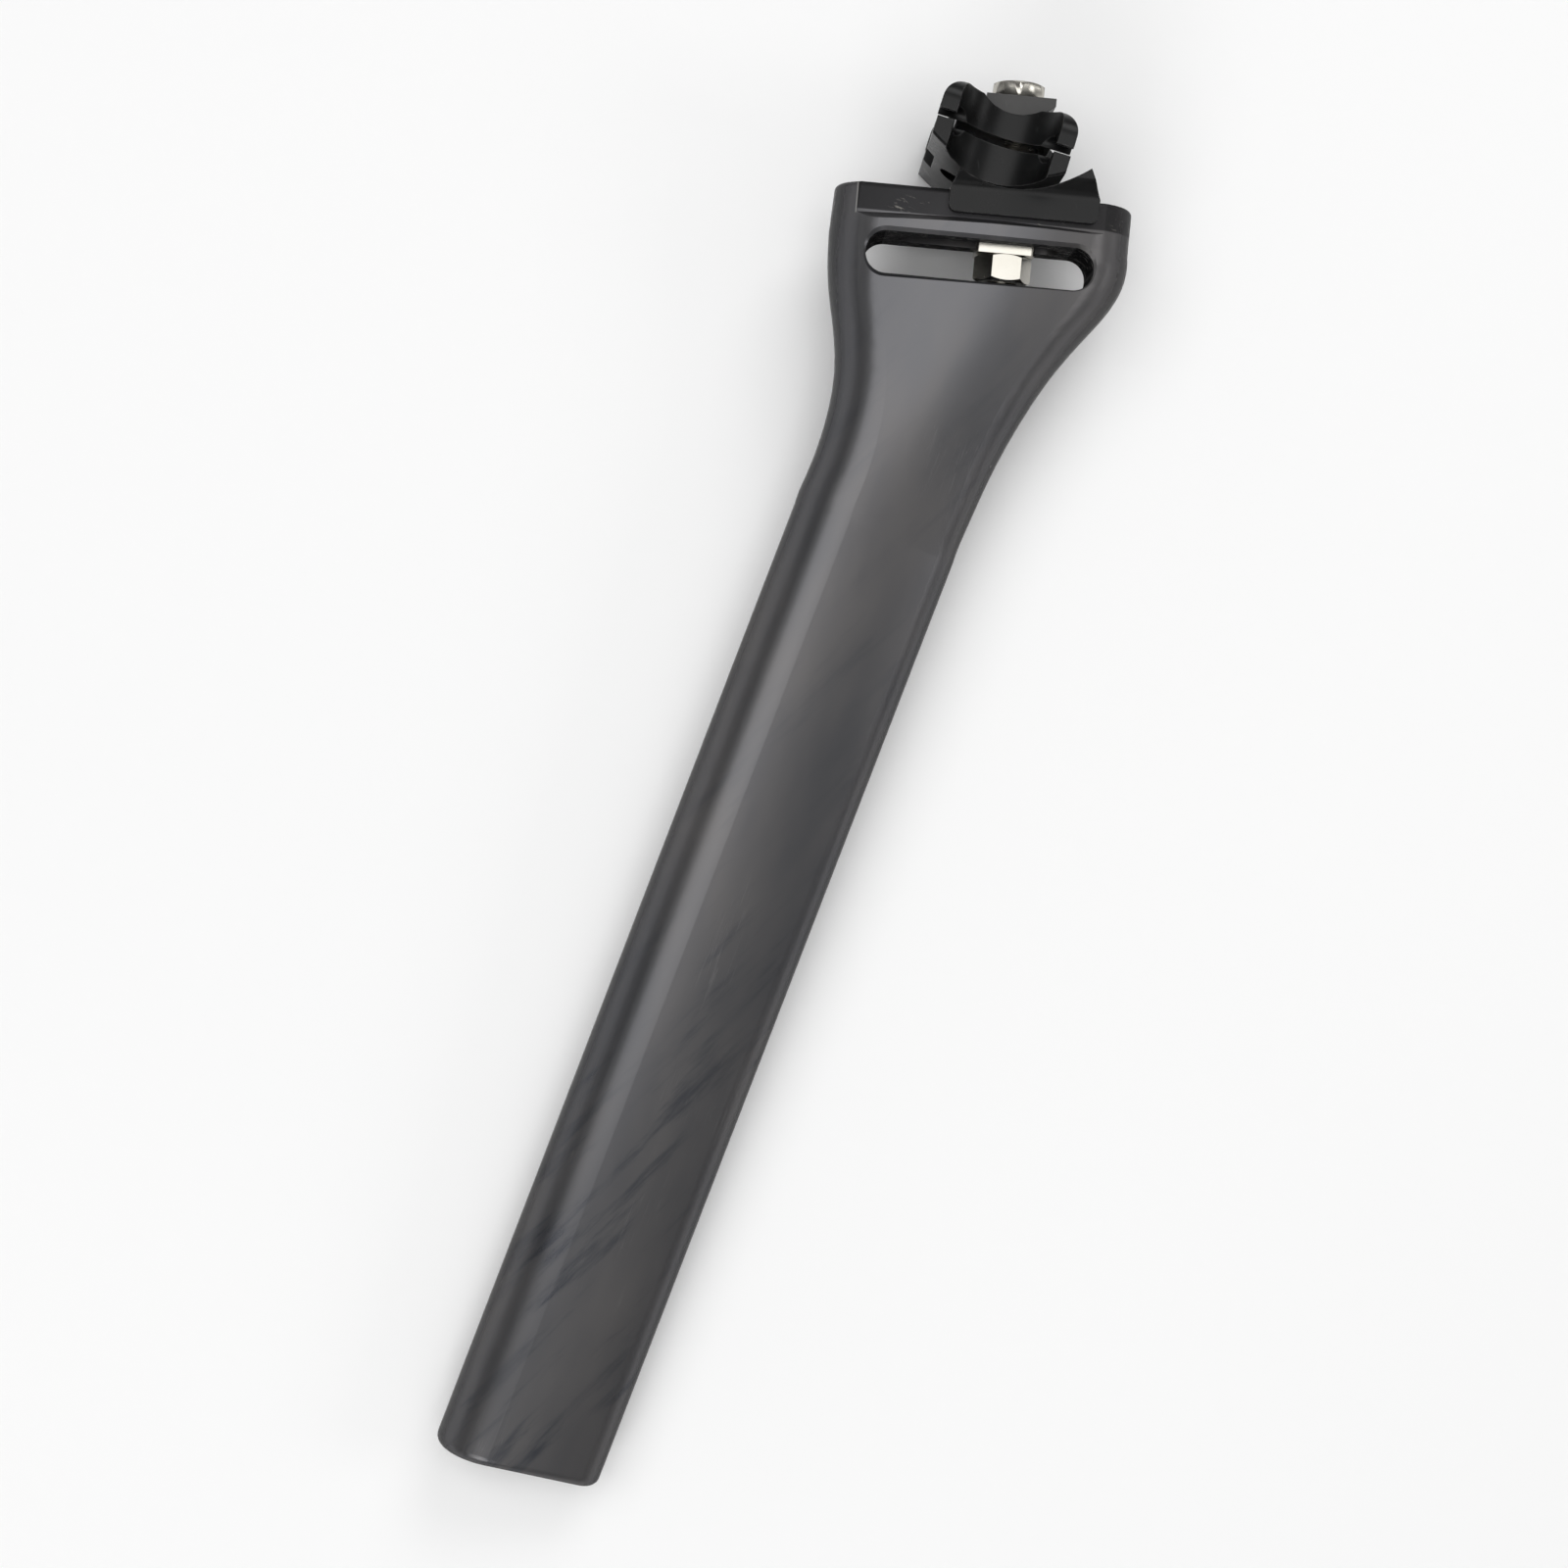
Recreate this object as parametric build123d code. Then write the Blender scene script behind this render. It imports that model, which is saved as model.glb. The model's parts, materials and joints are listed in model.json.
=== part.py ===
from build123d import *
import math
import os

# Aero bicycle seatpost with a sliding two-jaw saddle clamp, lying on its right side.
# Each piece is drawn as it sits on the bicycle: x to the rear, y to the right, z up, square to the
# flat top of the head. The middle of the shaft's chord crosses that top at the origin.
# At the end everything is turned together until it lies on the floor. Lengths are in millimetres.

# Shaft
post_length = 352.1
seat_angle = 74.0
shaft_chord = 43.9
shaft_nose = 12.0
shaft_tail = 6.0
shaft_wall = 2.2
foot_cut_angle = 4.5
foot_round = 2.8
foot_wall = 6.0
foot_hole_dia = 9.0
flare_start = 92.0

# Head
head_front = 43.9
head_rear = 33.6
head_nose = 11.8
head_tail = 11.0
head_straight = 12.0
head_draft = 0.6
head_edge = 1.4
neck_front_depth = 54.2
neck_front_swell = 3.3
neck_rear_depth = 57.5
neck_rear_reach = 9.4
brow_depth = 34.0
brow_reach = 24.0
rebate_half = 10.5
rebate_depth = 7.0
rebate_sag = 1.4
shoulder_slope = 50.0

# Slot through the head, and the narrower slot for the bolt above it
slot_length = 58.4
slot_height = 10.8
slot_roof = 12.0
slot_corner = 5.2
slot_center = -5.1
slot_rim = 1.0
bolt_slot_width = 8.8
travel_front = 23.0
travel_rear = 9.6

# Bolt, nut and washers
bolt_x = 1.6
thread_dia = 8.0
hex_across = 13.0
bolt_head_height = 5.2
bolt_length = 45.0
nut_height = 6.8
hex_chamfer = 0.7
bolt_hex_turn = 28.0
nut_hex_turn = 5.0
hole_play = 0.6
plate_length = 15.0
plate_width = 12.0
plate_thickness = 2.4
plate_corner = 1.0

# Rocker: the clamp tilts about an axis across the bicycle, above the bolt head
cradle_web = 0.9
running_gap = 0.05
tilt_now = 12.0
tilt_range = 14.0
washer_radius = 13.7
washer_depth = 5.25
washer_length = 17.7
washer_width = 25.0

# Cradle that slides on the head
cradle_front = 16.0
cradle_rear = 22.2
cradle_half = 16.2
cradle_height = 8.6
cradle_end_slant = 24.0
skirt_depth = 6.0
skirt_half = 13.0
skirt_gap = 0.1
skirt_corner = 2.0
flare_height = 4.6

# Rail jaws
rail_dia = 7.0
rail_spacing = 44.0
rail_drop = 21.4
rail_play = 0.05
jaw_half_width = 27.0
jaw_gap = 2.2
upper_length = 34.8
upper_height = 8.8
upper_end_round = 6.0
upper_side_round = 6.0
upper_ear_gap = 36.0
upper_ear_reach = 5.0
lower_length = 34.6
lower_height = 9.5
lower_edge = 0.8
lower_ear_gap = 14.0
lower_ear_reach = 2.5
waist_radius = 13.0
waist_center = 27.2
saddle_length = 21.0
saddle_height = 2.2

# Places that follow from the sizes above
lean = math.radians(90.0 - seat_angle)
shaft_down = Vector(-math.sin(lean), 0, -math.cos(lean))
shaft_rearward = Vector(math.cos(lean), 0, -math.sin(lean))
rocker_radius = rail_drop + jaw_gap / 2 + lower_height
pivot_height = cradle_web + running_gap + rocker_radius
pivot = Vector(bolt_x, 0, pivot_height)
washer_top = pivot_height - washer_radius + washer_depth
bolt_hole = thread_dia + hole_play


def on_shaft(depth, side):
    """A point of the middle plane: so far down the shaft, so far to the rear of its middle."""
    return shaft_down * depth + shaft_rearward * side


def section(front, rear, nose, tail, inset=0.0):
    """Drop-shaped section between a front and a rear point of the middle plane, square to it."""
    chord = (rear - front).length - 2 * inset
    across = (rear - front).normalized()
    place = Plane(origin=front + across * inset, x_dir=across, z_dir=across.cross(Vector(0, 1, 0)))
    nose_r = nose - inset
    tail_r = tail - inset
    taper = math.asin((nose_r - tail_r) / (chord - nose_r - tail_r))
    nose_x = nose_r + nose_r * math.sin(taper)
    tail_x = chord - tail_r + tail_r * math.sin(taper)
    nose_y = nose_r * math.cos(taper)
    tail_y = tail_r * math.cos(taper)
    outline = [
        ThreePointArc((nose_x, nose_y), (0, 0), (nose_x, -nose_y)),
        Line((nose_x, -nose_y), (tail_x, -tail_y)),
        ThreePointArc((tail_x, -tail_y), (chord, 0), (tail_x, tail_y)),
        Line((tail_x, tail_y), (nose_x, nose_y)),
    ]
    return place * make_face(outline)


def across_plane(x=0.0, z=0.0):
    """Upright fore-and-aft drawing plane: drawn x goes rearward and drawn y goes up."""
    return Plane(origin=(x, 0, z), x_dir=(1, 0, 0), z_dir=(0, -1, 0))


def head_edges():
    """Front and rear outlines of the flared head in the middle plane, from the shaft upwards."""
    half = shaft_chord / 2
    front = Spline(
        on_shaft(flare_start, -half),
        on_shaft(flare_start * 0.78, -half),
        on_shaft(neck_front_depth, -half) - Vector(neck_front_swell, 0, 0),
        Vector(-head_front, 0, -head_straight),
        tangents=(shaft_down * -1, Vector(0, 0, 1)),
    )
    rear = Spline(
        on_shaft(flare_start, half),
        Vector(neck_rear_reach, 0, -neck_rear_depth),
        Vector(brow_reach, 0, -brow_depth),
        Vector(head_rear, 0, -head_straight),
        tangents=(shaft_down * -1, Vector(0, 0, 1)),
    )
    return front, rear


def slot_mouth(side):
    """Drawing plane just under the head's flank on one side, centred on the slot, facing outwards."""
    taper = math.asin((head_nose - head_tail) / (head_front + head_rear - head_nose - head_tail))
    inwards = head_nose - slot_rim
    start = head_nose - head_front + inwards * math.sin(taper)
    along = (slot_center - start) / math.cos(taper)
    out = inwards * math.cos(taper) - along * math.sin(taper)
    return Plane(
        origin=(slot_center, side * out, -slot_roof - slot_height / 2),
        x_dir=(-side * math.cos(taper), math.sin(taper), 0),
        z_dir=(math.sin(taper), side * math.cos(taper), 0),
    )


def make_post():
    """One hollow moulded piece: shaft, flared head, rebated sides and the two slots."""
    half = shaft_chord / 2
    front_edge, rear_edge = head_edges()
    steps = 8
    sections = []
    for step in range(steps + 1):
        share = step / steps
        nose = shaft_nose + (head_nose - shaft_nose) * share
        tail = shaft_tail + (head_tail - shaft_tail) * share
        sections.append(section(front_edge @ share, rear_edge @ share, nose, tail))
    flare = loft(sections)
    crown = section(Vector(head_draft - head_front, 0, 0), Vector(head_rear, 0, 0), head_nose, head_tail)
    top = loft([sections[-1], crown])
    shaft_end = section(on_shaft(flare_start, -half), on_shaft(flare_start, half), shaft_nose, shaft_tail)
    shaft = extrude(shaft_end, amount=post_length, dir=shaft_down)
    post = flare + top + shaft

    end_down = shaft_down.rotate(Axis.Y, -foot_cut_angle)
    foot = Plane(origin=on_shaft(post_length, 0), z_dir=end_down * -1)
    post = split(post, bisect_by=foot, keep=Keep.TOP)
    end_face = post.faces().sort_by(Axis(foot.origin, foot.z_dir))[0]
    post = fillet(end_face.edges(), foot_round)

    bore = section(
        on_shaft(flare_start, -half), on_shaft(flare_start, half), shaft_nose, shaft_tail, shaft_wall
    )
    post -= extrude(bore, amount=post_length - flare_start - foot_wall, dir=shaft_down)
    drain = Plane(origin=on_shaft(post_length - foot_wall - 1, 0), z_dir=shaft_down)
    post -= extrude(drain * Circle(foot_hole_dia / 2), amount=foot_wall + 3)

    reach = (head_front + head_rear) / 2 + 1
    middle = (head_rear - head_front) / 2
    ledge = -rebate_depth - rebate_sag
    recess = make_face([
        ThreePointArc((-reach, ledge), (0, -rebate_depth), (reach, ledge)),
        Line((reach, ledge), (reach, head_straight)),
        Line((reach, head_straight), (-reach, head_straight)),
        Line((-reach, head_straight), (-reach, ledge)),
    ])
    for side in (-1, 1):
        flank = Plane(origin=(middle, side * rebate_half, 0), x_dir=(-side, 0, 0), z_dir=(0, side, 0))
        post -= extrude(flank * recess, amount=shaft_nose - rebate_half + 1, taper=-shoulder_slope)
    rim = [edge for edge in post.edges() if edge.bounding_box().min.Z > -0.01]
    post = fillet(rim, head_edge)

    slot = RectangleRounded(slot_length, slot_height, slot_corner)
    through = extrude(
        across_plane(slot_center, -slot_roof - slot_height / 2) * slot, amount=shaft_nose * 2, both=True
    )
    post -= through
    for side in (-1, 1):
        post -= extrude(slot_mouth(side) * slot, amount=2 * slot_rim, taper=-45)

    bolt_slot_length = travel_front + travel_rear + bolt_slot_width
    bolt_slot_x = bolt_x + (travel_rear - travel_front) / 2
    opening = Pos(bolt_slot_x, 0, 1) * SlotOverall(bolt_slot_length, bolt_slot_width)
    post -= extrude(opening, amount=-(slot_roof + slot_height / 2))
    return post


def make_cradle():
    """Saddle that slides on the head: two skirts hug the rebates and a trough carries the lower jaw."""
    slant = (cradle_height + 2) * math.tan(math.radians(cradle_end_slant))
    front = bolt_x - cradle_front
    rear = bolt_x + cradle_rear
    side_view = make_face(Polyline(
        (front, -skirt_depth), (rear, -skirt_depth), (rear, 0), (rear - slant, cradle_height + 2),
        (front + slant, cradle_height + 2), (front, 0), close=True,
    ))
    body = extrude(across_plane() * side_view, amount=cradle_half, both=True)
    end_view = make_face([
        Line((-skirt_half, -skirt_depth), (skirt_half, -skirt_depth)),
        Line((skirt_half, -skirt_depth), (skirt_half, -0.5)),
        Spline((skirt_half, -0.5), (cradle_half, flare_height), tangents=((0, 1), (0.4, 1))),
        Line((cradle_half, flare_height), (cradle_half, cradle_height + 2)),
        Line((cradle_half, cradle_height + 2), (-cradle_half, cradle_height + 2)),
        Line((-cradle_half, cradle_height + 2), (-cradle_half, flare_height)),
        Spline((-cradle_half, flare_height), (-skirt_half, -0.5), tangents=((0.4, -1), (0, -1))),
        Line((-skirt_half, -0.5), (-skirt_half, -skirt_depth)),
    ])
    reach = cradle_front + cradle_rear
    body &= extrude(Plane.YZ * end_view, amount=reach * 2, both=True)
    corners = [
        edge for edge in body.edges().filter_by(Axis.Y)
        if edge.center().Z < -skirt_depth + 0.01
    ]
    body = fillet(corners, skirt_corner)
    rebate_fit = rebate_half + skirt_gap
    body -= Pos(bolt_x, 0, -skirt_depth) * Box(reach * 2, 2 * rebate_fit, 2 * skirt_depth)
    trough = Cylinder(rocker_radius + running_gap, cradle_half * 4, rotation=(90, 0, 0))
    body -= Pos(pivot) * trough
    body -= Pos(bolt_x, 0, 0) * Cylinder(bolt_hole / 2, cradle_height * 2)
    return body


def jaw_cutters():
    """What both jaws lose: the waists, the rail grooves and the long bolt slot."""
    tall = rocker_radius * 3
    waist = Cylinder(waist_radius, tall)
    groove = Cylinder(rail_dia / 2 + rail_play, tall, rotation=(0, 90, 0))
    cutters = []
    for side in (-1, 1):
        cutters.append(Pos(0, side * waist_center, 0) * waist)
        cutters.append(Pos(0, side * rail_spacing / 2, -rail_drop) * groove)
    return cutters


def between_ears(length, gap, reach):
    """The shallow recess across both ends of a jaw that leaves its ears standing."""
    tall = rocker_radius * 3
    hollow = Pos(length / 2, 0, 0) * Box(2 * reach, gap, tall)
    return hollow + Pos(-length, 0, 0) * hollow


def bolt_window(depth):
    """Slot that lets the bolt swing through a jaw whose far side is this deep below the pivot."""
    swing = depth * math.tan(math.radians(tilt_range)) + bolt_hole / 2 / math.cos(math.radians(tilt_range))
    slot = SlotOverall(2 * swing, bolt_hole)
    return Pos(0, 0, -depth - 1) * extrude(slot, amount=depth)


def make_upper_jaw():
    """Upper jaw about the pivot: four ears over the rails, a waist each side, a seat for the washer."""
    lips = -rail_drop + jaw_gap / 2
    top = lips + upper_height
    half = upper_length / 2
    blank = Rectangle(upper_length, upper_height)
    blank = fillet(blank.vertices().group_by(Axis.Y)[-1], upper_end_round)
    body = extrude(across_plane(0, (lips + top) / 2) * blank, amount=jaw_half_width, both=True)
    end_view = Rectangle(2 * jaw_half_width, upper_height)
    end_view = fillet(end_view.vertices().group_by(Axis.Y)[-1], upper_side_round)
    body &= extrude(Plane.YZ * Pos(0, (lips + top) / 2) * end_view, amount=half * 2, both=True)
    saddle = Polyline(
        (-saddle_length / 2, top - 1), (saddle_length / 2, top - 1),
        (saddle_length / 2 - 1.5, top + saddle_height), (1.5 - saddle_length / 2, top + saddle_height),
        close=True,
    )
    body -= between_ears(upper_length, upper_ear_gap, upper_ear_reach)
    body += extrude(across_plane() * make_face(saddle), amount=washer_width / 2, both=True)
    body -= Cylinder(washer_radius + running_gap, washer_width * 2, rotation=(90, 0, 0))
    for cutter in jaw_cutters():
        body -= cutter
    body -= bolt_window(-lips)
    return body


def make_lower_jaw():
    """Lower jaw about the pivot: flat inside, with a round belly that rocks in the cradle's trough."""
    lips = -rail_drop - jaw_gap / 2
    half = lower_length / 2
    end_z = -math.sqrt(rocker_radius**2 - half**2)
    side_view = make_face([
        Line((-half, lips), (half, lips)),
        Line((half, lips), (half, end_z)),
        ThreePointArc((half, end_z), (0, -rocker_radius), (-half, end_z)),
        Line((-half, end_z), (-half, lips)),
    ])
    body = extrude(across_plane() * side_view, amount=jaw_half_width, both=True)
    belly = [edge for edge in body.edges() if edge.center().Z < end_z - 0.1]
    body = fillet(belly, lower_edge)
    body -= between_ears(lower_length, lower_ear_gap, lower_ear_reach)
    for cutter in jaw_cutters():
        body -= cutter
    body -= bolt_window(rocker_radius)
    return body


def make_half_round_washer():
    """Washer under the bolt head: flat top, round belly that stays put while the jaws rock."""
    disc = Circle(washer_radius)
    flat = washer_radius - washer_depth
    strip = Pos(0, -(flat + washer_radius) / 2) * Rectangle(washer_length, washer_depth)
    profile = disc & strip
    body = extrude(across_plane(pivot.X, pivot.Z) * profile, amount=washer_width / 2, both=True)
    body -= Pos(bolt_x, 0, pivot.Z - flat) * Cylinder(bolt_hole / 2, washer_depth * 4)
    return body


def hexagon_block(height, turn, both_ends):
    """Hexagon prism from z = 0 upwards with its corners turned down at the top, or at both ends."""
    across_corners = hex_across / math.cos(math.radians(30))
    prism = extrude(RegularPolygon(across_corners / 2, 6, rotation=turn), amount=height)
    cone_half = across_corners / 2
    rim = hex_across / 2 * 0.97
    drop = hex_chamfer
    start = drop if both_ends else 0.0
    points = [(0, 0), (rim if both_ends else cone_half, 0)]
    if both_ends:
        points.append((cone_half, start))
    points += [(cone_half, height - drop), (rim, height), (0, height)]
    turned = revolve(Plane.XZ * make_face(Polyline(*points, close=True)), Axis.Z)
    return prism & turned


def make_bolt():
    """Hexagon-head bolt standing square to the head's top."""
    head = Pos(bolt_x, 0, washer_top) * hexagon_block(bolt_head_height, bolt_hex_turn, False)
    shank = Pos(bolt_x, 0, washer_top - bolt_length) * extrude(Circle(thread_dia / 2), amount=bolt_length)
    tip = shank.edges().group_by(Axis.Z)[0]
    return head + chamfer(tip, hex_chamfer)


def make_slot_washer():
    """Rectangular plate that bears on the roof of the slot."""
    plate = RectangleRounded(plate_length, plate_width, plate_corner)
    body = extrude(Pos(bolt_x, 0, -slot_roof) * plate, amount=-plate_thickness)
    body -= Pos(bolt_x, 0, -slot_roof) * Cylinder(bolt_hole / 2, plate_thickness * 4)
    return body


def make_nut():
    """Hexagon nut under the slot washer, bored to the bolt's size."""
    top = -slot_roof - plate_thickness
    body = Pos(bolt_x, 0, top - nut_height) * hexagon_block(nut_height, nut_hex_turn, True)
    body -= Pos(bolt_x, 0, top) * Cylinder(thread_dia / 2, nut_height * 4)
    return body


def make_pieces():
    """All pieces as they sit on the bicycle, with the jaws at the tilt that was found."""
    tilted = Pos(pivot) * Rot(0, tilt_now, 0)
    return {
        "post": make_post(),
        "base_cradle": make_cradle(),
        "lower_rail_jaw": tilted * make_lower_jaw(),
        "upper_rail_jaw": tilted * make_upper_jaw(),
        "half_round_washer": make_half_round_washer(),
        "clamp_bolt": make_bolt(),
        "slot_washer": make_slot_washer(),
        "nut": make_nut(),
    }


def floor_under():
    """Plane of the floor: it touches the foot's right side and both right-hand ears of the lower jaw."""
    tilted = Pos(pivot) * Rot(0, tilt_now, 0)
    foot_side = on_shaft(post_length, -shaft_chord / 2 + shaft_nose) + Vector(0, shaft_nose, 0)
    ears = []
    for end in (-1, 1):
        x = end * lower_length / 2
        z = -math.sqrt(rocker_radius**2 - x**2)
        ears.append((tilted * Pos(x, jaw_half_width, z)).position)
    up = (ears[0] - foot_side).cross(ears[1] - foot_side).normalized()
    if up.Y > 0:
        up = up * -1
    along = shaft_down * -1
    along = (along - up * along.dot(up)).normalized()
    return Plane(origin=foot_side, x_dir=along, z_dir=up)


def lay_down(pieces):
    """Turn everything onto the floor, centred over the origin."""
    onto_floor = floor_under().location.inverse()
    laid = {name: onto_floor * piece for name, piece in pieces.items()}
    box = Compound([solid for piece in laid.values() for solid in piece.solids()]).bounding_box()
    center = box.center()
    shift = Pos(-center.X, -center.Y, -box.min.Z)
    return {name: shift * piece for name, piece in laid.items()}, shift * onto_floor


def report(place):
    """Print the joint and mount points in metres, in the frame of the finished part."""
    turned = place * Pos(pivot) * Rot(0, tilt_now, 0)
    places = {
        "pivot": place * Pos(pivot),
        "bolt at head top": place * Pos(bolt_x, 0, 0),
        "left rail": turned * Pos(0, -rail_spacing / 2, -rail_drop),
        "right rail": turned * Pos(0, rail_spacing / 2, -rail_drop),
        "shaft at clamp height": place * Pos(on_shaft(post_length / 2, 0)),
        "slot middle": place * Pos(slot_center, 0, -slot_roof - slot_height / 2),
    }
    for name, spot in places.items():
        point = spot.position / 1000
        print(f"{name}: {point.X:.6f} {point.Y:.6f} {point.Z:.6f}")
    origin = place.position
    directions = {
        "rearward on the head": Vector(1, 0, 0),
        "to the right": Vector(0, 1, 0),
        "up from the head": Vector(0, 0, 1),
        "up the shaft": shaft_down * -1,
    }
    for name, direction in directions.items():
        way = (place * Pos(direction)).position - origin
        print(f"{name}: {way.X:.6f} {way.Y:.6f} {way.Z:.6f}")
    rail = (turned * Pos(1, 0, 0)).position - turned.position
    print(f"rearward along the rails: {rail.X:.6f} {rail.Y:.6f} {rail.Z:.6f}")


def main():
    """Write one file for each piece."""
    os.makedirs("parts", exist_ok=True)
    laid, place = lay_down(make_pieces())
    for name, piece in laid.items():
        export_step(piece, f"parts/{name}.step")
    report(place)


main()
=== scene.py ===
# %% [markdown]
# # A carbon aero seatpost with its saddle clamp
# The post lies on its side on pale paper, as a workshop lays a used part down to photograph it. Its
# solids come from the CAD program, already in the right places. This lesson gives them their
# finishes, adds the screw thread, and sets up the floor, the light and the camera. Everything is in
# metres.

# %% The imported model
import json
import math
import bmesh
import bpy
from mathutils import Matrix, Vector

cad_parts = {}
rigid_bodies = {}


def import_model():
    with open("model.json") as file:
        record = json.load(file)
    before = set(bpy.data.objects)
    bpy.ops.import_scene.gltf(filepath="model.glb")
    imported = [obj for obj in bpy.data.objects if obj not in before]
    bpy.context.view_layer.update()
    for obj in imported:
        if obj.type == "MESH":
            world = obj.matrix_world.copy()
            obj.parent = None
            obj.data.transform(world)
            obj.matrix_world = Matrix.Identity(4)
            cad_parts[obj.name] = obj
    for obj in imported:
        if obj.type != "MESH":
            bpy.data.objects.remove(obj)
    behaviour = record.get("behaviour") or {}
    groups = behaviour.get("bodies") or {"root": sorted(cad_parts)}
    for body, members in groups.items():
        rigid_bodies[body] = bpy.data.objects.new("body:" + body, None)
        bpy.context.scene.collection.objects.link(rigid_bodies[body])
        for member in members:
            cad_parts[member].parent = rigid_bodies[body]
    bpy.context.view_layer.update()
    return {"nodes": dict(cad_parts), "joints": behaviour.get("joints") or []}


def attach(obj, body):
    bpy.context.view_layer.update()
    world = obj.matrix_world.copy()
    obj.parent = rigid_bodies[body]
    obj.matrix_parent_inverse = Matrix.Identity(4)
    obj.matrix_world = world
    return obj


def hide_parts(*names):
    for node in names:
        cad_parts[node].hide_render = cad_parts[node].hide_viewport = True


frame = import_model()
nodes = frame["nodes"]
for leftover in [thing for thing in bpy.data.objects if thing.name in ("Cube", "Light", "Camera")]:
    bpy.data.objects.remove(leftover)
for name in sorted(nodes):
    print("from the CAD program:", name, len(nodes[name].data.polygons), "faces")

# %% [markdown]
# ## Where the head is
# The flared head leans 16 degrees from the shaft, so its marks don't run along the world's axes. The
# two joints tell how it lies: the clamp slides along the head, and the jaws tilt about the axis
# across it. With those two directions and the tilting point, any place on the head can be named by
# how far rearward, rightward and up it is, which reads better than world numbers and stays right if
# the CAD program lays the post down differently.

# %% The head's own directions
joints = {joint["name"]: joint for joint in frame["joints"]}
rearward = Vector(joints["clamp_slide"]["axis"])
rightward = Vector(joints["jaw_tilt"]["axis"])
upward = rearward.cross(rightward)
pivot = Vector(joints["jaw_tilt"]["pos_m"])
pivot_height = 0.03295
head_top = pivot - upward * pivot_height
MM = 0.001
print("head top at", [round(value, 4) for value in head_top])
print("up the head is", [round(value, 4) for value in upward])

# %% [markdown]
# ## A helper for shader maths
# Patterns in a material are sums: a scratch is a line where a noise crosses a level, wear is a smooth
# step of a distance. Written as wired nodes such sums are hard to read. A small class wraps one
# socket and gives it plus, minus, times and divided by, so that an ordinary Python line adds the Math
# nodes for us. Every other node is made by one method that takes its type, its settings and what goes
# into its sockets.

# %% The socket class
class Wire:
    """One socket of a material, which can be used in sums like a number."""

    def __init__(self, tree, socket=None):
        self.tree = tree
        self.socket = socket

    def node(self, kind, settings=None, inputs=None, output=0):
        made = self.tree.nodes.new(kind)
        for name, value in (settings or {}).items():
            setattr(made, name, value)
        for name, value in (inputs or {}).items():
            socket = made.inputs[name]
            if isinstance(value, Wire):
                self.tree.links.new(value.socket, socket)
            else:
                socket.default_value = value
        return Wire(self.tree, made.outputs[output])

    def sum_of(self, operation, *values):
        return self.node("ShaderNodeMath", {"operation": operation}, dict(enumerate(values)))

    def __add__(self, other):
        return self.sum_of("ADD", self, other)

    __radd__ = __add__

    def __sub__(self, other):
        return self.sum_of("SUBTRACT", self, other)

    def __rsub__(self, other):
        return self.sum_of("SUBTRACT", other, self)

    def __mul__(self, other):
        return self.sum_of("MULTIPLY", self, other)

    def __truediv__(self, other):
        return self.sum_of("DIVIDE", self, other)

    def size(self):
        return self.sum_of("ABSOLUTE", self)

    def clipped(self):
        return self.node("ShaderNodeClamp", None, {"Value": self})

    def step(self, low, high):
        """0 below low, 1 above high, and smooth between them."""
        return self.node(
            "ShaderNodeMapRange",
            {"interpolation_type": "SMOOTHSTEP"},
            {"Value": self, "From Min": low, "From Max": high, "To Min": 0.0, "To Max": 1.0},
        )

    def along(self, start, direction):
        """How far a point is from start in a direction, in metres."""
        offset = self.node("ShaderNodeVectorMath", {"operation": "SUBTRACT"}, {0: self, 1: start})
        return self.node(
            "ShaderNodeVectorMath", {"operation": "DOT_PRODUCT"}, {0: offset, 1: direction}, output="Value"
        )

    def between(self, first, second):
        """A colour between two colours, where this wire says how far."""
        return self.node(
            "ShaderNodeMix", {"data_type": "RGBA"}, {"Factor": self, 6: first, 7: second}, output=2
        )

    def noise(self, size, detail=2.0, roughness=0.5, turn=(0, 0, 0)):
        """A noise of about 0.2 to 0.8 at this place, whose marks are as long as size says, in metres."""
        spread = self.node(
            "ShaderNodeMapping", {"vector_type": "TEXTURE"},
            {"Vector": self, "Rotation": turn, "Scale": size},
        )
        return self.node(
            "ShaderNodeTexNoise", None,
            {"Vector": spread, "Scale": 1.0, "Detail": detail, "Roughness": roughness},
        )


print("socket class ready")

# %% [markdown]
# ## Starting a material
# Every finish here starts in the same way: an empty tree, one Principled shader, and the piece's own
# Object coordinates. Object coordinates don't move with the camera and don't need an unwrapped
# surface, and because every piece's object sits at the origin, they are also the world's coordinates
# in metres. A value that is the same all over goes straight on the shader's socket.

# %% A new finish
def new_finish(name, constants):
    material = bpy.data.materials.new(name)
    material.use_nodes = True
    tree = material.node_tree
    shader = tree.nodes["Principled BSDF"]
    for socket, value in constants.items():
        shader.inputs[socket].default_value = value
    start = Wire(tree)
    place = start.node("ShaderNodeTexCoord", output="Object")
    return material, shader, start, place


def give(start, shader, socket, wire):
    start.tree.links.new(wire.socket, shader.inputs[socket])


def bumped(start, shader, height, depth, over=None):
    """Raises the surface by height times depth, in metres, over a coarser direction if there is one."""
    inputs = {"Height": height, "Distance": depth, "Strength": 1.0}
    if over is not None:
        inputs["Normal"] = over
    give(start, shader, "Normal", start.node("ShaderNodeBump", None, inputs))


def grey(value, warmth=0.0):
    """A linear grey, a little warmer or cooler."""
    return (value * (1 + warmth), value, value * (1 - warmth), 1.0)


print("finishes start from Object coordinates")

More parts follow.
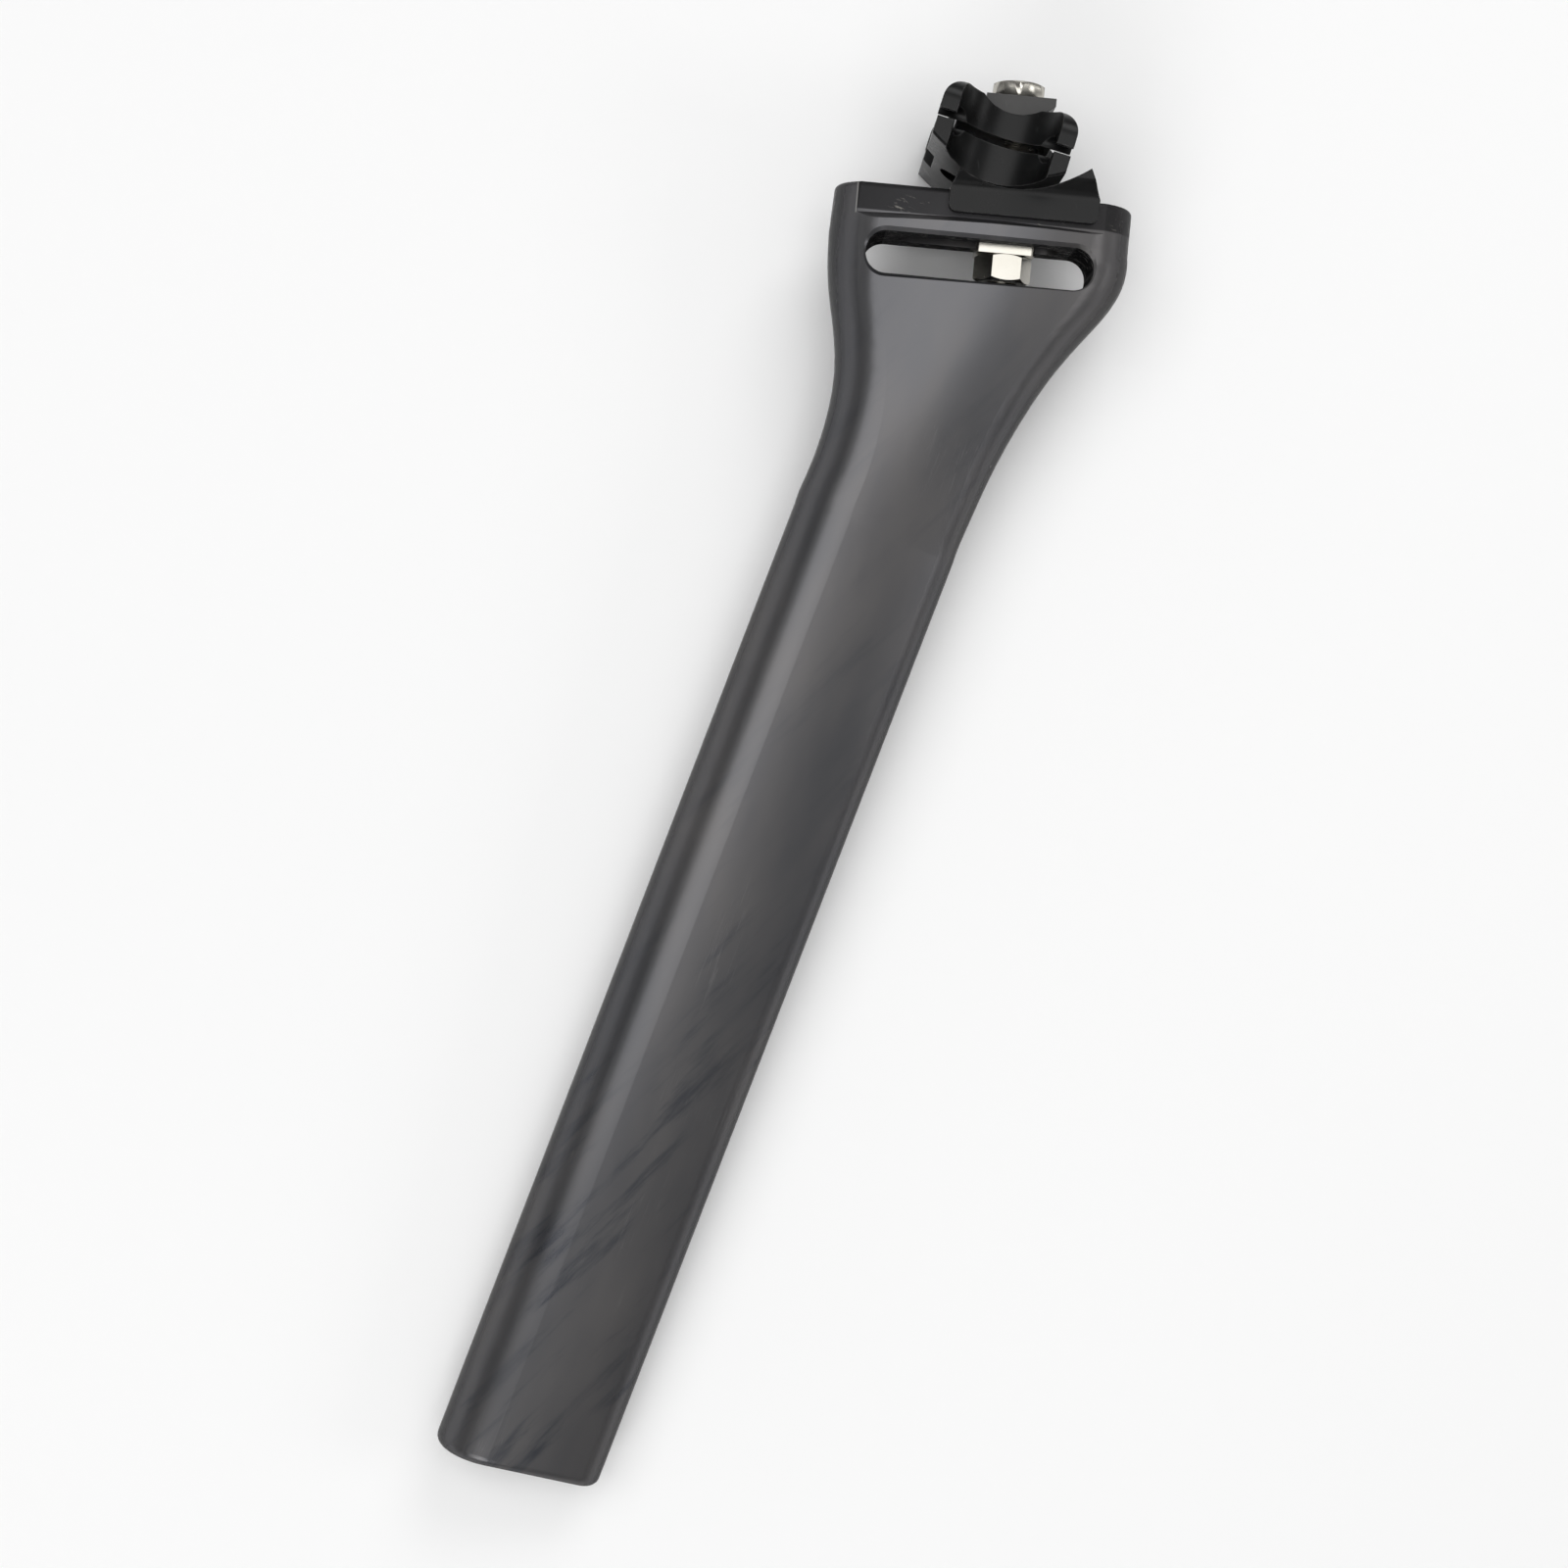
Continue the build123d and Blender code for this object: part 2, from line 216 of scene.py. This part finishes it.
# %% [markdown]
# ## The carbon shell
# The post is moulded carbon under a satin clear coat. In the photograph the broad side is charcoal
# with a soft sheen, slightly cloudy, with slanting dark streaks low on the shaft and a few fine pale
# hairlines along it. A picture of carbon would repeat and need unwrapping, so each of these is a
# stretched noise instead: the size of the noise in metres says how long and how wide its marks are.
# The shader is partly metallic with a dark edge tint, so that the shell shows a broad sheen where it
# faces a lamp and stays dark where it turns away.

# %% The post's colours and clouds
def clouds_and_streaks(place):
    clouds = place.noise((0.09, 0.03, 0.03), detail=3.0, roughness=0.55)
    slant = place.noise((0.045, 0.0052, 0.03), detail=5.0, roughness=0.62, turn=(0, 0, math.radians(-25)))
    low_shaft = 1.0 - place.along((0, 0, 0), (1, 0, 0)).step(-0.13, 0.02)
    patch = place.noise((0.05, 0.022, 0.03), detail=2.0).step(0.42, 0.56)
    streaks = slant.step(0.48, 0.70) * (low_shaft * 0.8 + 0.2) * (patch * 0.75 + 0.25)
    return clouds.step(0.3, 0.7), streaks


carbon, carbon_shader, start, place = new_finish(
    "carbon_clear_coated",
    {"Metallic": 0.8, "Specular Tint": (0.02, 0.02, 0.02, 1), "Coat Roughness": 0.18, "Coat IOR": 1.4},
)
shell_dark = (0.1000, 0.1000, 0.1060, 1)
shell_pale = (0.1400, 0.1350, 0.1350, 1)
streak_blue = (0.0420, 0.0480, 0.0620, 1)
cloudy, streaky = clouds_and_streaks(place)
shell_colour = cloudy.between(shell_dark, shell_pale)
shell_colour = (streaky * 0.75).between(shell_colour, streak_blue)
print("clouds and slanting streaks set")

# %% [markdown]
# ## Raw places and scuffs
# Not every face of the post has clear coat. The slot's walls are raw and dark with pale file marks,
# as if it was milled after moulding. The rebates under the cradle's skirts are rubbed matt, and their
# colour is painted darker, a painted shade in the recess under the skirts. The bore, which the
# photograph doesn't show, is taken to be raw too. Each place is found by a small sum: the slot by a box
# on the head's own directions, and the bore by its faces, which look towards the shaft's middle line
# and not along the shaft.

# %% Where the post is raw
def inside_box(place, middle, half_length, half_height):
    """1 within a box on the head, seen from the side."""
    along = place.along(head_top, rearward)
    height = place.along(head_top, upward)
    near_length = 1.0 - (along - middle[0]).size().step(half_length - 0.05 * MM, half_length + 0.15 * MM)
    near_height = 1.0 - (height - middle[1]).size().step(half_height - 0.05 * MM, half_height + 0.15 * MM)
    return near_length * near_height


slot_middle = (-6.7 * MM, -17.4 * MM)
slot_half_length = 29.2 * MM
slot_half_height = 5.4 * MM
rebate_depth = 7.0 * MM
rebate_front = -39.2 * MM
shaft_middle = head_top + Vector((-0.175635, 0.001538, -0.007402))

facing = start.node("ShaderNodeTexCoord", output="Normal")
height_on_head = place.along(head_top, upward)
sideways = facing.along((0, 0, 0), rightward).size()
in_slot = inside_box(place, slot_middle, slot_half_length, slot_half_height)
in_slot = in_slot * (1.0 - sideways.step(0.4, 0.6))
from_bolt = place.along(head_top, rearward)
rebate_length = from_bolt.step(rebate_front, rebate_front + 0.2 * MM)
rebate_length = rebate_length * (1.0 - from_bolt.step(25.0 * MM, 36.0 * MM))
on_rebate = height_on_head.step(-rebate_depth - 0.3 * MM, -rebate_depth + 0.1 * MM) * rebate_length
shaft_end = 1.0 - place.along((0, 0, 0), (1, 0, 0)).step(0.05, 0.06)
from_axis = start.node(
    "ShaderNodeVectorMath", {"operation": "SUBTRACT"}, {0: place, 1: shaft_middle}
)
outwards = start.node(
    "ShaderNodeVectorMath", {"operation": "DOT_PRODUCT"},
    {0: from_axis.node("ShaderNodeVectorMath", {"operation": "MULTIPLY"}, {0: from_axis, 1: (0, 1, 1)}),
     1: facing}, output="Value",
)
end_on = facing.along((0, 0, 0), (1, 0, 0)).size()
in_bore = (1.0 - outwards.step(-0.5 * MM, 0.5 * MM)) * shaft_end * (1.0 - end_on.step(0.2, 0.5))
raw = (in_slot + in_bore).clipped()
print("raw places: slots and bore")

# %% Scuffs, hairlines, dust and painted edge highlights on the post
hair_field = place.noise((0.06, 0.0009, 0.002), detail=1.0)
hair_patch = place.noise((0.05, 0.018, 0.02), detail=2.0).step(0.52, 0.66)
hairlines = (1.0 - (hair_field - 0.5).size().step(0.003, 0.014)) * hair_patch
dust_cells = place.node(
    "ShaderNodeTexVoronoi", {"feature": "F1"}, {"Vector": place, "Scale": 95.0, "Randomness": 1.0}
)
dust_choice = place.noise((0.02, 0.02, 0.02), detail=1.0).step(0.52, 0.62)
dust = (1.0 - dust_cells.step(0.018, 0.036)) * dust_choice * (1.0 - raw)
file_marks = place.noise((0.0016, 0.0035, 0.0009), detail=3.0, roughness=0.7).step(0.54, 0.66)
rub_marks = place.noise((0.0010, 0.0040, 0.0010), detail=3.0, roughness=0.7).step(0.58, 0.70)
rub_patch = place.noise((0.010, 0.016, 0.02), detail=1.0).step(0.48, 0.60)
low_on_rebate = 1.0 - height_on_head.step(-5.2 * MM, -2.0 * MM)
rubbed = rub_marks * rub_patch * on_rebate * low_on_rebate * 1.6
# A thin pale line at the rebate's front end is a painted edge highlight, not a chip.
rebate_end_highlight = 1.0 - (from_bolt - (rebate_front - 0.1 * MM)).size().step(0.05 * MM, 0.22 * MM)
rebate_end_highlight = rebate_end_highlight * height_on_head.step(-8.4 * MM, -7.8 * MM) * sideways.step(0.4, 0.6)
chamfer = sideways.step(0.5, 0.6) * facing.along((0, 0, 0), -upward).step(0.5, 0.6)
chamfer = chamfer * inside_box(place, slot_middle, slot_half_length + 2 * MM, slot_half_height + 3 * MM)
# Pale strokes on the chamfer over the slot's mouth, where it faces down and sideways: partly wear, partly
# a painted highlight.
mouth_wear_and_highlight = chamfer * place.noise((0.006, 0.006, 0.006), detail=3.0).step(0.42, 0.60)
mouth_wear_and_highlight = mouth_wear_and_highlight * from_bolt.step(-8 * MM, 4 * MM)
painted_highlight_and_wear = (rebate_end_highlight * 0.9 + mouth_wear_and_highlight * 0.3).clipped()
print("hairlines, dust, chipped edges and file marks set")

# %% The post's colour, gloss and relief together
raw_dark = (0.0150, 0.0150, 0.0165, 1)
raw_filed = (0.30, 0.29, 0.28, 1)
hair_pale = (0.34, 0.33, 0.32, 1)
rebate_painted_shade = (0.0260, 0.0255, 0.0270, 1)
rubbed_pale = (0.42, 0.40, 0.36, 1)
dust_pale = (0.55, 0.54, 0.52, 1)
highlight_and_wear_pale = (0.50, 0.49, 0.47, 1)
raw_colour = (file_marks * 0.8).between(raw_dark, raw_filed)
whole_colour = raw.between(shell_colour, raw_colour)
whole_colour = (hairlines * 0.10 * (1.0 - raw)).between(whole_colour, hair_pale)
# The rebate is painted darker: painted shade in the recess under the cradle's skirts. Its matt rub is in
# the roughness and coat below.
whole_colour = (on_rebate * 0.85).between(whole_colour, rebate_painted_shade)
whole_colour = (rubbed * 0.30).between(whole_colour, rubbed_pale)
whole_colour = (dust * 0.55).between(whole_colour, dust_pale)
# Pale at the rebate's front end is a painted highlight. On the slot mouth's chamfer it is partly wear and
# partly painted highlight.
whole_colour = (painted_highlight_and_wear * 0.6).between(whole_colour, highlight_and_wear_pale)
give(start, carbon_shader, "Base Color", whole_colour)
satin = 0.30 + cloudy * 0.08 + hairlines * 0.12 - streaky * 0.06
give(start, carbon_shader, "Roughness", (satin + raw * 0.42 + on_rebate * 0.20).clipped())
clear_coat = (0.34 - cloudy * 0.12) * (1.0 - raw) * (1.0 - on_rebate * 0.85)
give(start, carbon_shader, "Coat Weight", clear_coat)
orange_peel = place.noise((0.0030, 0.0030, 0.0030), detail=1.5)
fine_grain = place.noise((0.0005, 0.0005, 0.0005), detail=2.0)
half_chord = 20.0 * MM
crown_height = 2.4 * MM
skin_depth = 0.06 * MM
across_shaft = place.along(shaft_middle, (0, 1, 0)) / half_chord
crown = across_shaft * across_shaft * (-1.0) * (1.0 - raw)
crowned = start.node("ShaderNodeBump", None, {"Height": crown, "Distance": crown_height, "Strength": 1.0})
skin = orange_peel * 0.20 + hairlines * (-0.12) + fine_grain * (raw * 0.9 + on_rebate * 0.35)
skin = skin + file_marks * raw * 0.8 + rubbed * (-0.5)
bumped(start, carbon_shader, skin, skin_depth, over=crowned)
nodes["post"].data.materials[0] = carbon
print("post finished with", carbon.name)

# %% [markdown]
# ## Black anodised alloy
# The cradle and the two rail jaws look like machined aluminium, bead blasted and anodised black.
# Blasting leaves a very fine even grain, and the black lies in the oxide, so a corner that has been
# knocked shows lighter grey. A Bevel node looks a fraction of a millimetre around each point: where the
# softened direction differs from the face's own direction there is a corner. The same softened
# direction lets every machined edge catch the light. Every corner is also painted a little lighter,
# knocked or not: that part is a painted edge highlight, and the knocked places on top of it are wear.

# %% Corners and grain of machined metal
def corner_mask(start, radius):
    """1 on a sharp corner, 0 on a flat, with the softened direction to shade with."""
    softened = start.node("ShaderNodeBevel", {"samples": 6}, {"Radius": radius})
    face_way = start.node("ShaderNodeNewGeometry", output="Normal")
    agreement = start.node(
        "ShaderNodeVectorMath", {"operation": "DOT_PRODUCT"}, {0: softened, 1: face_way}, output="Value"
    )
    return (1.0 - agreement).step(0.02, 0.16), softened


def machined_finish(name, dark, light, wear_and_edge_highlight, roughness, grain_depth, edge, constants):
    material, shader, start, place = new_finish(name, constants)
    corner, softened = corner_mask(start, edge)
    tone = place.noise((0.012, 0.012, 0.012), detail=3.0).step(0.3, 0.7)
    knocks = place.noise((0.0022, 0.0022, 0.0022), detail=3.0, roughness=0.65).step(0.46, 0.66)
    scuffs = place.noise((0.0075, 0.0009, 0.0009), detail=2.0, turn=(0, 0, 0.5)).step(0.66, 0.76)
    colour = tone.between(dark, light)
    # Every corner is painted a quarter of the way to the light colour, a painted edge highlight. Knocks on
    # corners and scuffs add wear on top.
    colour = (corner * (knocks * 0.55 + 0.25) + scuffs * 0.08).clipped().between(colour, wear_and_edge_highlight)
    give(start, shader, "Base Color", colour)
    give(start, shader, "Roughness", roughness + tone * 0.06 + scuffs * 0.08 - corner * 0.08)
    grain = place.noise((0.00035, 0.00035, 0.00035), detail=2.0)
    bumped(start, shader, grain, grain_depth, over=softened)
    return material


black_alloy = machined_finish(
    "black_anodised", grey(0.0025), grey(0.0045, -0.04), grey(0.12), 0.26, 0.008 * MM, 0.40 * MM,
    {"Specular IOR Level": 0.22},
)
for name in ("base_cradle", "lower_rail_jaw", "upper_rail_jaw"):
    nodes[name].data.materials[0] = black_alloy
    print("anodised:", name)

# %% [markdown]
# ## Grey washer and bright steel
# The half-round washer is a darker, duller metal than the screws. The bolt, the nut and the plate
# washer are plated steel, which reads as bright warm white where a face looks at the light and nearly
# black beside it. That contrast is what metal is, so it comes from a metallic shader under the same
# lamps, not from paint.

# %% The two metals
washer_metal = machined_finish(
    "washer_grey", grey(0.030, 0.02), grey(0.045, 0.02), grey(0.25), 0.38, 0.012 * MM, 0.30 * MM,
    {"Metallic": 0.35},
)
nodes["half_round_washer"].data.materials[0] = washer_metal

steel_dark = (0.50, 0.48, 0.43, 1)
steel_light = (0.60, 0.58, 0.53, 1)
# The light steel colour also goes on every corner, partly as a painted edge highlight.
steel_wear_and_highlight = (0.72, 0.70, 0.66, 1)
plated_steel = machined_finish(
    "plated_bright", steel_dark, steel_light, steel_wear_and_highlight, 0.22, 0.006 * MM, 0.12 * MM, {"Metallic": 1.0},
)
for name in ("clamp_bolt", "slot_washer", "nut"):
    nodes[name].data.materials[0] = plated_steel
print("washer and plated parts finished")

# %% [markdown]
# ## The screw thread
# The CAD bolt is a plain rod, because a thread's thousands of faces would slow every check. Where the
# jaws gape the rod can be seen, so the picture's bolt gets a real thread. A thread is a ridge that
# climbs at one rate: a spiral with a small profile swept along it, which Geometry Nodes make from
# four sizes. The blank is the CAD bolt with its rod turned down to the thread's root, so its head
# stays as measured.

# %% The blank for the thread
thread_outer = 4.0 * MM
thread_root = 3.38 * MM
thread_pitch = 1.25 * MM


def turned_down(node, name):
    """A copy of the CAD bolt, its rod as thin as the thread's root, and the heights of the rod's ends."""
    shape = bmesh.new()
    shape.from_mesh(nodes[node].data)
    bmesh.ops.remove_doubles(shape, verts=shape.verts, dist=1e-6)
    heights = []
    for vert in shape.verts:
        height = (vert.co - head_top).dot(upward)
        on_axis = head_top + upward * height
        if (vert.co - on_axis).length < thread_outer * 1.02:
            heights.append(height)
            vert.co = on_axis + (vert.co - on_axis) * (thread_root / thread_outer)
    mesh = bpy.data.meshes.new(name)
    shape.to_mesh(mesh)
    shape.free()
    piece = bpy.data.objects.new(name, mesh)
    bpy.context.scene.collection.objects.link(piece)
    return piece, min(heights), max(heights)


blank, tip_height, seat_height = turned_down("clamp_bolt", "clamp_bolt_threaded")
print("rod from", round(tip_height, 4), "to", round(seat_height, 4), "m on the head's height")

# %% The thread's tree
def thread_tree(metal):
    tree = bpy.data.node_groups.new("screw_thread", "GeometryNodeTree")
    sockets = {}
    tree.interface.new_socket(name="Blank", in_out="INPUT", socket_type="NodeSocketGeometry")
    for name, kind in (
        ("Ridge Radius", "NodeSocketFloat"), ("Ridge Size", "NodeSocketFloat"),
        ("Turns", "NodeSocketFloat"), ("Length", "NodeSocketFloat"),
        ("Start", "NodeSocketVector"), ("Turn", "NodeSocketVector"),
    ):
        made = tree.interface.new_socket(name=name, in_out="INPUT", socket_type=kind)
        sockets[name] = made.identifier
    tree.interface.new_socket(name="Geometry", in_out="OUTPUT", socket_type="NodeSocketGeometry")
    made = {
        name: tree.nodes.new(kind)
        for name, kind in (
            ("in", "NodeGroupInput"), ("spiral", "GeometryNodeCurveSpiral"),
            ("profile", "GeometryNodeCurvePrimitiveCircle"), ("upright", "GeometryNodeSetCurveNormal"),
            ("sweep", "GeometryNodeCurveToMesh"), ("place", "GeometryNodeTransform"),
            ("join", "GeometryNodeJoinGeometry"), ("real", "GeometryNodeRealizeInstances"),
            ("metal", "GeometryNodeSetMaterial"), ("out", "NodeGroupOutput"),
        )
    }
    made["upright"].mode = "Z_UP"
    made["spiral"].inputs["Resolution"].default_value = 20
    made["profile"].inputs["Resolution"].default_value = 4
    made["sweep"].inputs["Fill Caps"].default_value = True
    made["metal"].inputs["Material"].default_value = metal
    for source, output, target, socket in (
        ("in", "Ridge Radius", "spiral", "Start Radius"), ("in", "Ridge Radius", "spiral", "End Radius"),
        ("in", "Length", "spiral", "Height"), ("in", "Turns", "spiral", "Rotations"),
        ("in", "Ridge Size", "profile", "Radius"), ("spiral", "Curve", "upright", "Curve"),
        ("upright", "Curve", "sweep", "Curve"), ("profile", "Curve", "sweep", "Profile Curve"),
        ("sweep", "Mesh", "place", "Geometry"), ("in", "Start", "place", "Translation"),
        ("in", "Turn", "place", "Rotation"), ("in", "Blank", "join", "Geometry"),
        ("place", "Geometry", "join", "Geometry"), ("join", "Geometry", "real", "Geometry"),
        ("real", "Geometry", "metal", "Geometry"), ("metal", "Geometry", "out", "Geometry"),
    ):
        tree.links.new(made[source].outputs[output], made[target].inputs[socket])
    return tree, sockets


tree, sockets = thread_tree(plated_steel)
print("thread tree has inputs", ", ".join(sockets))

# %% The thread cut on the blank
def plain_mesh(piece, name):
    """The piece with its modifiers worked into a plain mesh."""
    ready = piece.evaluated_get(bpy.context.evaluated_depsgraph_get())
    mesh = bpy.data.meshes.new_from_object(ready)
    mesh.name = name
    piece.modifiers.clear()
    piece.data = mesh
    return piece


ridge_size = (thread_outer - thread_root) * 0.9
run_out = 0.9 * MM
thread_length = seat_height - tip_height - 2 * run_out
cutter = blank.modifiers.new("thread", "NODES")
cutter.node_group = tree
cutter[sockets["Ridge Radius"]] = thread_outer - ridge_size
cutter[sockets["Ridge Size"]] = ridge_size
cutter[sockets["Turns"]] = thread_length / thread_pitch
cutter[sockets["Length"]] = thread_length
cutter[sockets["Start"]] = head_top + upward * (tip_height + run_out)
cutter[sockets["Turn"]] = Vector((0, 0, 1)).rotation_difference(upward).to_euler()
bolt = plain_mesh(blank, "clamp_bolt_threaded")
for face in bolt.data.polygons:
    face.use_smooth = True
bolt.data.set_sharp_from_angle(angle=math.radians(32))
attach(bolt, "carriage")
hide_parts("clamp_bolt")
print("threaded bolt has", len(bolt.data.polygons), "faces")

# %% [markdown]
# ## Floor and backdrop
# The post lies on plain white paper. Studios roll the paper up behind the object, so that no edge of
# the floor shows from any side. Here the paper is one wide disc whose rim turns up in a round cove,
# made by turning a profile about the middle. The paper has a trace of tone, since an even white looks
# like nothing at all.

# %% The paper
def paper_finish():
    dull = {"Roughness": 0.9, "Specular IOR Level": 0.2}
    material, shader, start, place = new_finish("white_paper", dull)
    tone = place.noise((0.4, 0.4, 0.4), detail=2.0)
    give(start, shader, "Base Color", tone.between((0.935, 0.935, 0.935, 1), (0.955, 0.955, 0.953, 1)))
    return material


def turned_paper(name, flat_radius, cove_radius, wall_height, sides=96):
    """A flat disc whose rim turns up into a round wall."""
    cove_steps = 12
    profile = [(0.4, 0.0), (1.5, 0.0), (flat_radius, 0.0)]
    for part in range(1, cove_steps + 1):
        angle = math.radians(90 * part / cove_steps)
        profile.append((flat_radius + cove_radius * math.sin(angle), cove_radius * (1 - math.cos(angle))))
    profile.append((flat_radius + cove_radius, wall_height))
    corners = [(0.0, 0.0, 0.0)]
    for radius, height in profile:
        for side in range(sides):
            turn = 2 * math.pi * side / sides
            corners.append((radius * math.cos(turn), radius * math.sin(turn), height))
    faces = [(0, 1 + side, 1 + (side + 1) % sides) for side in range(sides)]
    for ring in range(len(profile) - 1):
        low = 1 + ring * sides
        for side in range(sides):
            after = (side + 1) % sides
            faces.append((low + side, low + sides + side, low + sides + after, low + after))
    mesh = bpy.data.meshes.new(name)
    mesh.from_pydata(corners, [], faces)
    for face in mesh.polygons:
        face.use_smooth = True
    paper = bpy.data.objects.new(name, mesh)
    bpy.context.scene.collection.objects.link(paper)
    return paper


paper = turned_paper("paper_backdrop", 3.2, 0.9, 1.6)
paper.data.materials.append(paper_finish())
print("paper flat to 3.2 m, wall to 1.6 m")

# %% [markdown]
# ## Light
# A glossy black part is lit by what it mirrors. The photograph's post shows one soft pale band along
# its front third and dark bands at both edges, so the room was probably bright overhead and dark
# around. The world does that: brightest straight up and quiet below. One large soft lamp above the
# front side draws the band. Two more stand off the ends of the post, where its long curved sides
# can't mirror them, and bring the paper up to near white. A small one at the rear brightens the bolt
# head's right facet, which is bright in the photograph.

# %% The room and the lamps
def room(overhead, low):
    world = bpy.data.worlds.new("soft_room")
    world.use_nodes = True
    start = Wire(world.node_tree)
    way = start.node("ShaderNodeTexCoord", output="Generated")
    height = way.along((0, 0, 0), (0, 0, 1))
    glow = height.step(0.35, 1.0).between(grey(low), grey(overhead))
    world.node_tree.links.new(glow.socket, world.node_tree.nodes["Background"].inputs["Color"])
    bpy.context.scene.world = world


def soft_lamp(name, place, aim, length, width, brightness, long_way=(1, 0, 0)):
    """An area lamp whose face is as bright as brightness, where 1 is white."""
    data = bpy.data.lights.new(name, "AREA")
    data.shape = "RECTANGLE"
    data.size = length
    data.size_y = width
    data.energy = brightness * math.pi * length * width
    lamp = bpy.data.objects.new(name, data)
    away = (Vector(place) - Vector(aim)).normalized()
    across = away.cross(Vector(long_way)).normalized()
    along = across.cross(away)
    lamp.matrix_world = Matrix.Translation(place) @ Matrix((along, across, away)).transposed().to_4x4()
    bpy.context.scene.collection.objects.link(lamp)


room(0.60, 0.08)
middle = (0.0, 0.0, 0.02)
soft_lamp("overhead_lamp", (0.10, 0.33, 1.55), middle, 1.15, 1.9, 1.6)
soft_lamp("rear_glint_lamp", (0.38, -1.33, 0.80), middle, 0.5, 0.45, 3.0)
soft_lamp("foot_end_lamp", (-1.35, 0.1, 1.05), middle, 1.0, 0.7, 3.2, long_way=(0, 1, 0))
soft_lamp("head_end_lamp", (1.40, -0.1, 1.15), middle, 1.0, 0.7, 3.2, long_way=(0, 1, 0))
print("room and four lamps set")

# %% [markdown]
# ## Camera
# The photograph looks almost straight down. Its lens was worked out from the clamp: if its near and
# far ears are 54 millimetres apart, as the usual spacing of saddle rails suggests, they shrink with
# distance as a 61 millimetre lens on a 36 millimetre frame shows. The same fit gives where the camera
# stands and how it is turned.

# %% The camera
def camera_at(place, right, up, back, lens):
    data = bpy.data.cameras.new("photo_camera")
    data.lens = lens
    data.sensor_width = 36.0
    data.clip_start = 0.01
    data.clip_end = 60.0
    camera = bpy.data.objects.new("photo_camera", data)
    turn = Matrix((Vector(right), Vector(up), Vector(back))).transposed()
    camera.matrix_world = Matrix.Translation(place) @ turn.to_4x4()
    bpy.context.scene.collection.objects.link(camera)
    bpy.context.scene.camera = camera
    return camera


from_head_top = Vector((-0.1714417, 0.0169208, 0.6807504))
picture_right = (0.3590303, -0.9328903, 0.0285307)
picture_up = (0.9332049, 0.3593085, 0.0051412)
towards_camera = (-0.0150475, 0.0247794, 0.9995792)
lens_mm = 60.75
camera = camera_at(head_top + from_head_top, picture_right, picture_up, towards_camera, lens_mm)
bpy.context.scene.view_settings.view_transform = "Standard"
print("camera lens", camera.data.lens)
